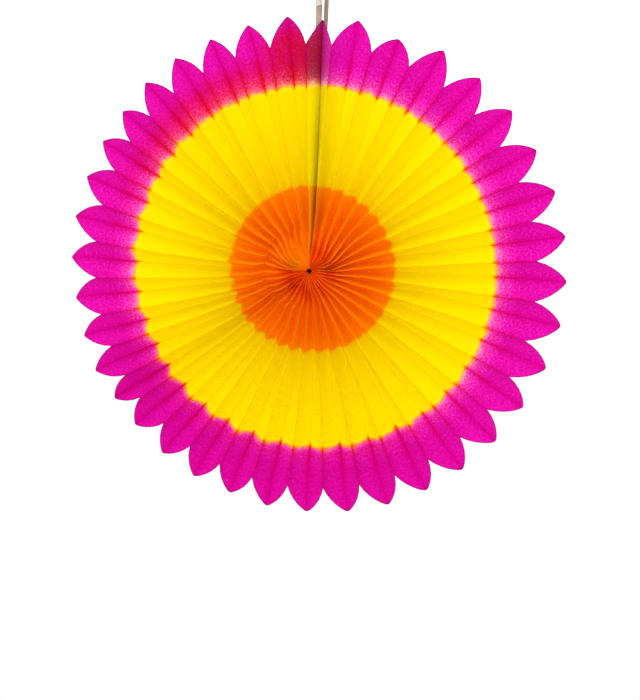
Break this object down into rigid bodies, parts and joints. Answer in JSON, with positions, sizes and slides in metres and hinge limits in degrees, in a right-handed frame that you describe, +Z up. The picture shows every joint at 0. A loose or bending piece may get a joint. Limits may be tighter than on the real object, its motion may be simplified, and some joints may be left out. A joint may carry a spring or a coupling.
{
  "type": "paper flower",
  "caption": "Round pleated tissue paper flower with die-cut petals along its rim, dyed in rings, gathered at the centre and hung by a narrow card tab at its seam.",
  "frame": {"origin": "middle of the front face of the adhesive pad on the hanging tab", "axes": "+Z up along the tab, away from the flower's hub; +Y towards the back of the flower, with its front facing -Y; +X to the right as seen from the front"},
  "size_m": [0.4987, 0.0232, 0.5393],
  "materials": {
    "dyed_tissue": "matte, dyed in rings",
    "grey_card": "matte",
    "white_pad": "matte",
    "thread": "matte"
  },
  "bodies": {
    "root": {"pleated_paper": "dyed_tissue", "left_card_strip": "grey_card", "right_card_strip": "grey_card", "adhesive_pad": "white_pad", "gathering_thread": "thread"}
  },
  "joints": []
}
